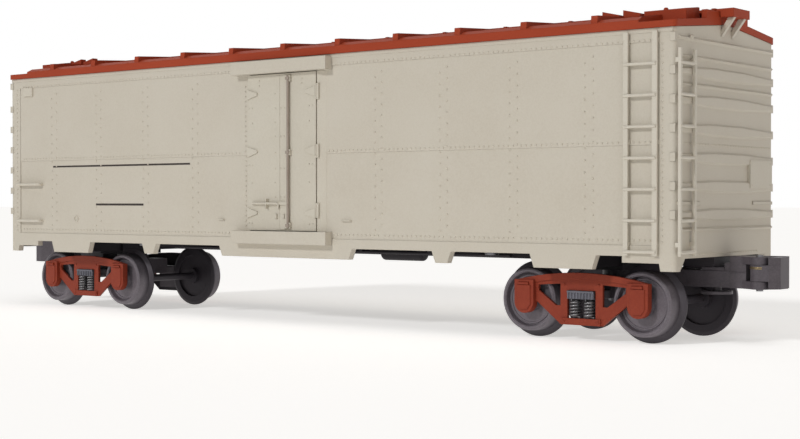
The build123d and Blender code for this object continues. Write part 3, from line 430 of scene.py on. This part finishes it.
def side_trim():
    """Small fittings moulded on the side wall."""
    trim = Piece()
    # Drip strip under the eave
    strip_x = END_X - 0.8
    trim.plate(-strip_x, strip_x, EAVE_Z - 1.1, EAVE_Z, SIDE_Y + BEDDED, SIDE_Y - 0.14)
    # Grip pad at the top of the left corner
    trim.plate(-126.4, -121.3, 74.9, 78.2, UPPER_SHEET_Y + BEDDED, UPPER_SHEET_Y - 0.58, 0.15)
    # Wire brackets low on the wall, left and right of the door
    wire_z, root_y, wire_y = 31.8, SIDE_Y + 0.5, SIDE_Y - 0.4
    for x0, x1 in ((-27.7, -25.5), (23.8, 27.3)):
        trim.rod([(x0, root_y, wire_z), (x0, wire_y, wire_z), (x1, wire_y, wire_z), (x1, root_y, wire_z)],
                 0.2, 8)
    # Ring low on the lower sheet, above a truck
    ring_back = LOWER_SHEET_Y + 0.05
    trim.turned((-97.9, 31.5), ((ring_back, 1.15), (ring_back, 0.75), (SIDE_Y, 0.85), (SIDE_Y, 1.05)), 24)
    # Jamb beside the free edge of the door, which leaves a narrow dark gap
    jamb_back, jamb_face = SIDE_Y + 0.4, SIDE_Y - 0.62
    jamb = ((14.5, jamb_back), (14.5, jamb_face), (15.2, jamb_face), (17.6, SIDE_Y + 0.2),
            (17.6, jamb_back))
    trim.loft([[(x, y, z) for x, y in jamb] for z in (DOOR_LOW_Z + 0.1, DOOR_TOP_Z - 0.1)])
    trim.both("side_trim", CAR, RIVET, "body_plastic")


def printed_rules():
    """Two plain rules, printed on the lower sheet left of the door."""
    rules = Piece()
    for x0, x1, z, half in ((-110.5, -41.2, 49.75, 0.3), (-87.6, -63.5, 36.5, 0.35)):
        rules.plate(x0, x1, z - half, z + half, LOWER_SHEET_Y + 0.05, LOWER_SHEET_Y - 0.02)
    rules.both("printed_rules", CAR, INK, "black_plastic")


def door_fittings():
    """Hinge plates, meeting line, latch, handle and rivets on the face of the door."""
    door = Piece()
    back_y, plate_y = DOOR_Y + BEDDED, DOOR_Y - 0.3
    rivet_r, rivet_h = 0.26, 0.2
    # Hinge plates that reach over the gap at the free edge, with their pins and a row of rivets below
    pin_x = 14.5
    for z0, z1 in ((68.2, 73.1), (50.6, 54.8), (32.6, 37.1)):
        door.plate(13.75, 15.5, z0, z1, DOOR_Y + 0.13, plate_y, 0.1)
        door.rod([(pin_x, plate_y, z0 + 0.3), (pin_x, plate_y, z1 - 0.3)], 0.22, 8)
        for x in (-13.6, -12.3, 11.5, 12.9):
            door.dome((x, DOOR_Y, z0 - 1.8), OUT_OF_SIDE, rivet_r, rivet_h)
    # Raised strip on the meeting line of the two leaves
    door.plate(-1.7, -0.5, DOOR_LOW_Z + 0.6, DOOR_TOP_Z - 0.7, back_y, DOOR_Y - 0.12, 0.05)
    # Latch case, with one lug left of it and one on it
    door.plate(-0.4, 2.3, DOOR_LOW_Z + 0.5, 37.9, back_y, plate_y, 0.1)
    for x0, x1 in ((-2.3, -1.2), (1.0, 1.9)):
        door.plate(x0, x1, 32.1, 33.8, back_y, DOOR_Y - 0.75, 0.2)
    # Handle that hooks down at the latch case, given as (x, distance from the panel, z), and its keeper
    bar_z = 36.95
    handle = ((-12.0, 0.3, bar_z), (-11.4, 0.85, bar_z), (-1.0, 0.85, bar_z), (-0.6, 0.8, 36.6),
              (-0.6, 0.7, 35.3))
    door.rod([(x, DOOR_Y - proud, z) for x, proud, z in handle], 0.36)
    door.plate(-5.85, -5.35, 35.3, 38.4, back_y, DOOR_Y - 1.1, 0.1)
    # Rivets: triples along the middle, singles between them and at both edges, pairs near the top
    spots = [(x, z) for z in (66.1, 57.5, 47.6, 39.0) for x in (-2.4, -0.2, 1.3)]
    spots += [(x, z) for z in (70.6, 61.8, 52.5, 43.3) for x in (-2.6, -12.3, 11.5)]
    spots += [(x, z) for x in (-9.3, 8.5) for z in (74.8, 73.3)]
    for x, z in spots:
        door.dome((x, DOOR_Y, z), OUT_OF_SIDE, rivet_r, rivet_h)
    door.both("door_fittings", DOORS, DOOR, "door_plastic")


def lock_rod_cover():
    """Round lock rod over the moulded one, and its three guides, darker than the door as painted shade."""
    cover = Piece()
    rod_x, rod_y = 3.3, DOOR_Y - 0.65
    cover.rod([(rod_x, rod_y, DOOR_LOW_Z + 1.0), (rod_x, rod_y, DOOR_TOP_Z - 1.0)], 0.42, 12)
    for z in (DOOR_TOP_Z - 1.9, 52.5, DOOR_LOW_Z + 1.8):
        cover.plate(rod_x - 0.9, rod_x + 0.9, z - 0.6, z + 0.6, DOOR_Y, DOOR_Y - 1.12, 0.2)
    cover.both("lock_rod_cover", DOORS, ROD_PAINTED_SHADE, "door_plastic")


def side_ladders():
    """Ladders with thin stiles on short feet, and the rungs across the faces of the stiles."""
    ladder = Piece()
    stile_back, stile_face, rung_y = SIDE_Y - 0.6, SIDE_Y - 1.15, SIDE_Y - 1.2
    for x0, x1 in ((119.6, 120.95), (127.9, 129.35)):
        ladder.box(x0, x1, stile_face, stile_back, LADDER_LOW_Z, LADDER_TOP_Z)
        for z in (26.6, 52.6, 78.4):
            ladder.box(x0 + 0.1, x1 - 0.1, stile_back - BEDDED, SIDE_Y + 0.3, z - 0.6, z + 0.6)
    for z in RUNG_HEIGHTS:
        ladder.rod([(119.8, rung_y, z), (129.0, rung_y, z)], 0.42, 12)
    ladder_near, ladder_far = ladder.both("side_ladder_thin", CAR, WIRE, "body_plastic", smooth=50)
    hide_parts("side_ladder_near")
    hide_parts("side_ladder_far")


def end_ladder_bolts():
    """A bolt head at each end of every rung of the end ladders."""
    bolts = Piece()
    ladder_y, half_apart, face_x = middle("end_ladder_right", Y), 3.85, END_X + 1.6
    for z in RUNG_HEIGHTS:
        for y in (ladder_y - half_apart, ladder_y + half_apart):
            bolts.dome((face_x, y, z), OUT_OF_END, 0.35, 0.22, 10)
    bolts.both("ladder_bolts", CAR, WIRE, "body_plastic", smooth=80)


def end_rivets():
    """Two rows of rivets across the end wall, the placard board's screws and a boss over the ladder."""
    end = Piece()
    upper_z, lower_z, lower_half = 52.35, 24.0, 19.0
    for y in spaced(-26.6, 26.6, ROW_PITCH):
        end.dome((END_X, y, upper_z), OUT_OF_END, RIVET_R, RIVET_H)
        if abs(y) < lower_half:
            end.dome((END_X, y, lower_z), OUT_OF_END, RIVET_R, RIVET_H)
    for z in (BOARD_EDGES_Z[LOW] + 0.8, BOARD_EDGES_Z[HIGH] - 0.8):
        for y in (BOARD_EDGES_Y[LOW] + 1.1, BOARD_EDGES_Y[HIGH] - 1.1):
            end.dome((BOARD_FACE_X, y, z), OUT_OF_END, 0.3, 0.15, 10)
    end.dome((END_X + 0.6, -21.4, 79.4), OUT_OF_END, 0.6, 0.7, 12)
    end.both("end_rivets", CAR, RIVET, "body_plastic", smooth=80)


def placard_boards():
    """Placard boards of both ends, as wide and as thin as in the photograph."""
    boards = Piece()
    (y0, y1), (z0, z1) = BOARD_EDGES_Y, BOARD_EDGES_Z
    for end in (-1, 1):
        outline = [(end * y, z) for y, z in ((y0, z0), (y1, z0), (y1, z1), (y0, z1))]
        boards.loft([[(end * x, y, z) for y, z in outline] for x in (END_X - 0.2, BOARD_FACE_X)])
    plates = boards.done("placard_boards_thin", "car_body", RIVET, "body_plastic")
    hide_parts("placard_boards")


def roof_fittings():
    """Lifting knobs of the ice hatches and cross cleats of the running board."""
    roof = Piece()
    knob_x, knob_y, knob_z = 121.6, 10.6, reach("ice_hatches", HIGH, Z) - BEDDED
    for x in (-knob_x, knob_x):
        for y in (-knob_y, knob_y):
            roof.dome((x, y, knob_z), UP, 0.7, 0.75, 12)
    # Cleats reach down to the ridge of the roof, and a little past the edges and the top of the board
    cleat_x, cleat_pitch, cleat_half = 132.6, 22.1, 0.5
    cleat_y = reach("running_board", HIGH, Y) + 0.5
    foot_z, top_z = reach("roof", HIGH, Z) - BEDDED, reach("running_board", HIGH, Z) + 0.15
    for x in spaced(-cleat_x, cleat_x, cleat_pitch):
        roof.box(x - cleat_half, x + cleat_half, -cleat_y, cleat_y, foot_z, top_z)
    roof.done("roof_fittings", "car_body", ROOF, "roof_plastic")


# Pieces of truck a, for both of its side frames
def journal_lids():
    """Lids of the journal boxes on their hinge pins, and rivets above and below the spring pocket."""
    lids = Piece()
    # Outline of a lid as (x from the axle, z), with its lower corners cut off
    outline = ((-2.3, 14.6), (-2.3, 9.3), (-1.3, 7.9), (1.3, 7.9), (2.3, 9.3), (2.3, 14.6))
    bevel, pin_half, pin_z, rivet_x = 0.2, 1.6, 15.1, 5.4
    for side in (-1, 1):
        back_y, face_y, pin_y = (side * (JOURNAL_BOX_Y + proud) for proud in (-BEDDED, 0.3, 0.05))
        for x in AXLES_X:
            lids.loft([[(x + dx, back_y, z) for dx, z in outline],
                       [(x + dx - math.copysign(bevel, dx), face_y, z) for dx, z in outline]])
            lids.rod([(x - pin_half, pin_y, pin_z), (x + pin_half, pin_y, pin_z)], 0.45)
        for x in (TRUCK_X - rivet_x, TRUCK_X + rivet_x):
            for y, z in ((FRAME_RIM_Y, 5.2), (FRAME_WEB_Y, 15.2)):
                lids.dome((x, side * y, z), (0, side, 0), 0.35, 0.25, 10)
    return lids


def bolster_ends():
    """Ends of the bolster above the springs: a face with nine upright ribs and a lip along its top."""
    ends = Piece()
    half, rib_half, rib_pitch, ribs = 4.15, 0.2, 0.95, 9
    first_rib = TRUCK_X - 3.8
    for side in (-1, 1):
        back_y, face_y, rib_y = (side * (BOLSTER_END_Y + proud) for proud in (-BEDDED, 0.15, 0.4))
        ends.box(TRUCK_X - half, TRUCK_X + half, back_y, face_y, 11.35, 13.45)
        ends.box(TRUCK_X - half, TRUCK_X + half, back_y, rib_y, 13.0, 13.5)
        for k in range(ribs):
            x = first_rib + rib_pitch * k
            ends.box(x - rib_half, x + rib_half, back_y, rib_y, 11.4, 13.0)
    return ends


def spring_backs():
    """Backs of the spring pockets, hanging from the bolster."""
    backs = Piece()
    for side in (-1, 1):
        backs.box(TRUCK_X - 4.6, TRUCK_X + 4.6, side * 18.2, side * 18.7, 5.6, 12.0)
    return backs


def coil_springs():
    """Two springs in each pocket, as high as the solids that they stand for."""
    springs = Piece()
    radius, wire, half_apart = 1.2, 0.3, 2.2
    low_z, top_z = reach("truck_a_springs", LOW, Z) + wire, reach("truck_a_springs", HIGH, Z) - wire
    for side in (-1, 1):
        for x in (TRUCK_X - half_apart, TRUCK_X + half_apart):
            springs.coil((x, side * SPRING_Y, low_z), radius, 5.5, top_z - low_z, wire, 110, 6)
    return springs


def wheel_rings(axle_x):
    """Turned rings on an axle's wheels: a wide one on the rim's face, a smaller one on the sunk web."""
    rings = Piece()
    for side in (-1, 1):
        for depth, rise, outer in ((0.05, 0.2, 8.3), (1.45, 0.25, 6.9)):
            low, high = side * (WHEEL_FACE_Y - depth), side * (WHEEL_FACE_Y - depth + rise)
            rings.turned((axle_x, AXLE_Z),
                         ((low, outer), (high, outer - 0.15), (high, outer - 0.55), (low, outer - 0.7)))
    return rings


def truck_pieces(letter, turn):
    """The pieces of one truck and of its two wheelsets."""
    body = "truck_" + letter
    journal_lids().done("journal_lids_" + letter, body, RED_CAST, "red_castings", turn=turn)
    bolster_ends().done("bolster_ends_" + letter, body, GREY_CAST, "red_castings", turn=turn)
    spring_backs().done("spring_backs_" + letter, body, BLACK_CAST, "black_castings", turn=turn)
    coils = coil_springs().done("coil_springs_" + letter, body, SPRING, "spring_steel",
                                turn=turn, smooth=80)
    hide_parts(body + "_springs")
    for number, axle_x in enumerate(AXLES_X, 1):
        wheel_rings(axle_x).done(f"wheel_rings_{letter}{number}", f"wheelset_{letter}{number}",
                                 WHEEL, "wheel_metal", turn=turn)


def floor_corner_blocks():
    """Blocks under the corners of the floor, seen between the feet and the skirts."""
    blocks = Piece()
    outer_x, outer_y = reach("floor", HIGH, X) + 0.1, reach("floor", HIGH, Y) + 0.1
    length, width = 4.35, 4.05
    for side in (-1, 1):
        blocks.box(outer_x - length, outer_x, side * outer_y, side * (outer_y - width), 21.35, 23.6)
    blocks.both("floor_corner_blocks", CAR, BLACK, "black_plastic")


def coupler_seams():
    """Mould seam on the near side of the coupler's head, and the shoulder of the drawbar behind it."""
    seam = Piece()
    head_x = reach("coupler_a", LOW, X)
    seam.box(head_x + 0.2, head_x + 4.7, -4.32, -4.1, 18.95, 19.15)
    # The shoulder stands on the arm, high next to the head and low behind
    half_y = reach("coupler_arm_a", HIGH, Y) - 0.1
    foot_z = reach("coupler_arm_a", HIGH, Z) - 0.1
    seam.box(head_x - 1.6, head_x + 0.1, -half_y, half_y, foot_z, 21.4)
    seam.box(head_x - 8.2, head_x - 1.5, -half_y, half_y, foot_z, 20.2)
    seam.both("coupler_seam", TRUCKS, BLACK_CAST, "black_castings")


def knuckle_springs():
    """Fine torsion spring wound round the knuckle's hub, about its pin."""
    hub_spring = Piece()
    foot = (middle("knuckle_pin_a", X), middle("knuckle_pin_a", Y), 20.1)
    hub_spring.coil(foot, 2.46, 2.0, 0.7, 0.11, 60, 8, hand=-1)
    hub_spring.both("knuckle_spring", TRUCKS, BRASS, "spring_steel", smooth=80)


# Camera, lamps, floor and background
scene = bpy.context.scene


def photo_camera():
    """The photograph's camera, from a fit of perspective to the wheels and the body's edges."""
    focal_px, photo_width_px = 1496.59, 800
    tilt_down, turn_left = 0.699, 38.457  # degrees
    place_m = (0.3134, -0.36545, 0.037605)
    data = bpy.data.cameras.new("camera")
    data.sensor_width = 36.0
    data.lens = focal_px * data.sensor_width / photo_width_px
    data.clip_start = 0.01
    data.clip_end = 50
    camera = bpy.data.objects.new("camera", data)
    camera.location = place_m
    camera.rotation_euler = (math.radians(90 - tilt_down), 0, math.radians(turn_left))
    scene.collection.objects.link(camera)
    scene.camera = camera


def sun(name, towards, strength, soft_degrees, colour=(1.0, 1.0, 1.0)):
    """Far lamp standing in the direction given, so the paper floor is lit alike everywhere."""
    data = bpy.data.lights.new(name, "SUN")
    data.energy = strength
    data.angle = math.radians(soft_degrees)
    data.color = colour
    obj = bpy.data.objects.new(name, data)
    obj.rotation_euler = Vector(towards).to_track_quat("Z", "Y").to_euler()
    scene.collection.objects.link(obj)


def white_surroundings():
    """White to the camera and in what shines or lets light through, and a weak light all round."""
    world = bpy.data.worlds.new("world")
    scene.world = world
    world.use_nodes = True
    tree = world.node_tree
    tree.nodes.clear()
    rays = add(tree, "ShaderNodeLightPath")
    camera_or_shine = add(tree, "ShaderNodeMath", [(0, rays.outputs["Is Camera Ray"]),
                                                   (1, rays.outputs["Is Glossy Ray"])], operation="MAXIMUM")
    seen = add(tree, "ShaderNodeMath", [(0, camera_or_shine.outputs["Value"]),
                                        (1, rays.outputs["Is Transmission Ray"])], operation="MAXIMUM")
    light = add(tree, "ShaderNodeBackground", in_Color=(1, 1, 1, 1), in_Strength=0.16)
    shown = add(tree, "ShaderNodeBackground", in_Color=(1, 1, 1, 1), in_Strength=1.0)
    mixed = add(tree, "ShaderNodeMixShader", [("Fac", seen.outputs["Value"]),
                                              (1, light.outputs["Background"]),
                                              (2, shown.outputs["Background"])])
    add(tree, "ShaderNodeOutputWorld", [("Surface", mixed.outputs["Shader"])])


def paper_finish():
    """Matt white paper, an even ground with a soft shadow. It glows, which lights the car from below."""
    paper = bpy.data.materials.new("paper_floor_white")
    paper.use_nodes = True
    tree = paper.node_tree
    tree.nodes.clear()
    rays = add(tree, "ShaderNodeLightPath")
    sheet = add(tree, "ShaderNodeBsdfDiffuse", in_Color=linear("#F2F2F2"))
    # The camera sees a slightly weaker glow than the car gets, so the paper stays off full white
    strength = add(tree, "ShaderNodeMapRange", [("Value", rays.outputs["Is Camera Ray"])],
                   in_To_Min=0.55, in_To_Max=0.53)
    glow = add(tree, "ShaderNodeEmission", [("Strength", strength.outputs["Result"])],
               in_Color=(1, 0.98, 0.95, 1))
    lit_sheet = add(tree, "ShaderNodeAddShader",
                    [(0, sheet.outputs["BSDF"]), (1, glow.outputs["Emission"])])
    add(tree, "ShaderNodeOutputMaterial", [("Surface", lit_sheet.outputs["Shader"])])
    return paper


def paper_floor():
    """Sheet of paper under the wheels, 16 m wide, so that its edge is far off in every view."""
    half = 8
    corners = [(-half, -half, 0), (half, -half, 0), (half, half, 0), (-half, half, 0)]
    mesh = bpy.data.meshes.new("floor_paper")
    mesh.from_pydata(corners, [], [(0, 1, 2, 3)])
    mesh.materials.append(paper_finish())
    ground = bpy.data.objects.new("floor_paper", mesh)
    scene.collection.objects.link(ground)


finish_solids()
side_rivets()
side_trim()
printed_rules()
door_fittings()
lock_rod_cover()
side_ladders()
end_ladder_bolts()
end_rivets()
placard_boards()
roof_fittings()
for letter, turn in (("a", False), ("b", True)):
    truck_pieces(letter, turn)
floor_corner_blocks()
coupler_seams()
knuckle_springs()

photo_camera()
# A key lamp on the near side, a wide soft one overhead and a weak warm one towards the +X end
sun("key", (-0.14, -0.85, 0.5), 1.15, 8)
sun("top", (0.4, -0.3, 1.0), 0.46, 40)
sun("end_fill", (1.0, -0.1, 0.3), 0.12, 20, (1.0, 0.6, 0.3))
white_surroundings()
paper_floor()

scene.view_settings.view_transform = "Standard"
